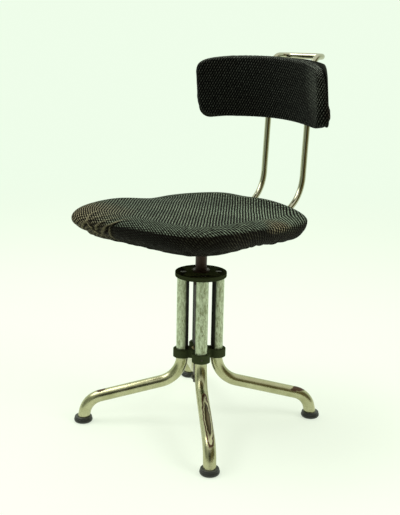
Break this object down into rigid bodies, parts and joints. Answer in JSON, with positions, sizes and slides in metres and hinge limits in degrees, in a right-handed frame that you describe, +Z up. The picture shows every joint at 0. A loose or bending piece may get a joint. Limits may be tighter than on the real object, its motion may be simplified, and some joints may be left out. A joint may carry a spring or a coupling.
{
  "type": "drafting chair",
  "caption": "Swivel drafting chair: padded seat on a lifting screw spindle, curved padded backrest on a bent rod frame, splayed bent tube legs.",
  "frame": {"origin": "on the floor, under the axis of the lifting spindle", "axes": "+Z up, -Y the way the sitter faces, +X the sitter's left"},
  "size_m": [0.388, 0.5867, 0.7577],
  "materials": {
    "worn_nickel": "worn nickel plate, pitted, brown rust where the plating has gone",
    "bright_chrome": "polished chrome rod, lightly hazed",
    "black_enamel": "black enamel, worn grey-green along the edges",
    "dark_steel": "oiled dark steel",
    "screw_steel": "tarnished steel",
    "bush_bronze": "plain turned bronze",
    "foot_rubber": "black moulded rubber, dull shine",
    "board_wood": "plain plywood",
    "foam": "old latex foam",
    "seat_fabric": "coarse black woven cloth with dotted ribs, faded grey-green",
    "back_fabric": "black woven cloth with fine diagonal dots",
    "pan_enamel": "black enamelled pressed steel"
  },
  "bodies": {
    "base": {"leg_front_left": "worn_nickel", "leg_rear_left": "worn_nickel", "leg_rear_right": "worn_nickel", "leg_front_right": "worn_nickel", "foot_front_left": "foot_rubber", "foot_rear_left": "foot_rubber", "foot_rear_right": "foot_rubber", "foot_front_right": "foot_rubber", "leg_plugs": "dark_steel", "leg_screws": "screw_steel", "top_flange": "black_enamel", "spindle_nut": "dark_steel", "nut_dowels": "screw_steel", "lower_bracket": "black_enamel", "bracket_set_screws": "screw_steel", "guide_bush": "bush_bronze"},
    "spindle_stop": {"stop_washer": "screw_steel"},
    "seat": {"spindle": "dark_steel", "end_nut": "screw_steel", "split_pin": "screw_steel", "seat_spider": "dark_steel", "hub_pin": "screw_steel", "board_screws": "screw_steel", "seat_board": "board_wood", "seat_pad": "foam", "seat_cover": "seat_fabric", "back_frame": "bright_chrome", "rod_block_front": "dark_steel", "rod_block_rear": "dark_steel", "block_bolts": "screw_steel", "rod_lock_screws": "screw_steel"},
    "back_carriage": {"back_clamp_left": "dark_steel", "back_clamp_right": "dark_steel", "back_pinch_screws": "screw_steel", "pivot_bar": "screw_steel", "pivot_spacers": "screw_steel"},
    "backrest": {"back_bracket": "dark_steel", "back_bracket_screws": "screw_steel", "back_pan": "pan_enamel", "back_pad": "foam", "back_cover": "back_fabric"}
  },
  "joints": [
    {"name": "seat_lift", "type": "slide", "parent": "base", "child": "spindle_stop", "axis": [0, 0, 1], "range_m": [-0.0381, 0.0421]},
    {"name": "seat_turn", "type": "hinge", "parent": "spindle_stop", "child": "seat", "pos_m": [0, 0, 0.3], "axis": [0, 0, 1], "range_deg": [-2280, 2520]},
    {"name": "back_height", "type": "slide", "parent": "seat", "child": "back_carriage", "axis": [0, 0.0628, 0.998], "range_m": [-0.11, 0.024]},
    {"name": "back_tilt", "type": "hinge", "parent": "back_carriage", "child": "backrest", "pos_m": [0, 0.29354, 0.68], "axis": [1, 0, 0], "range_deg": [-22, 10]}
  ],
  "couplings": [
    {"joint": "seat_lift", "follows": "seat_turn", "m_per_rad": 0.00095493}
  ]
}
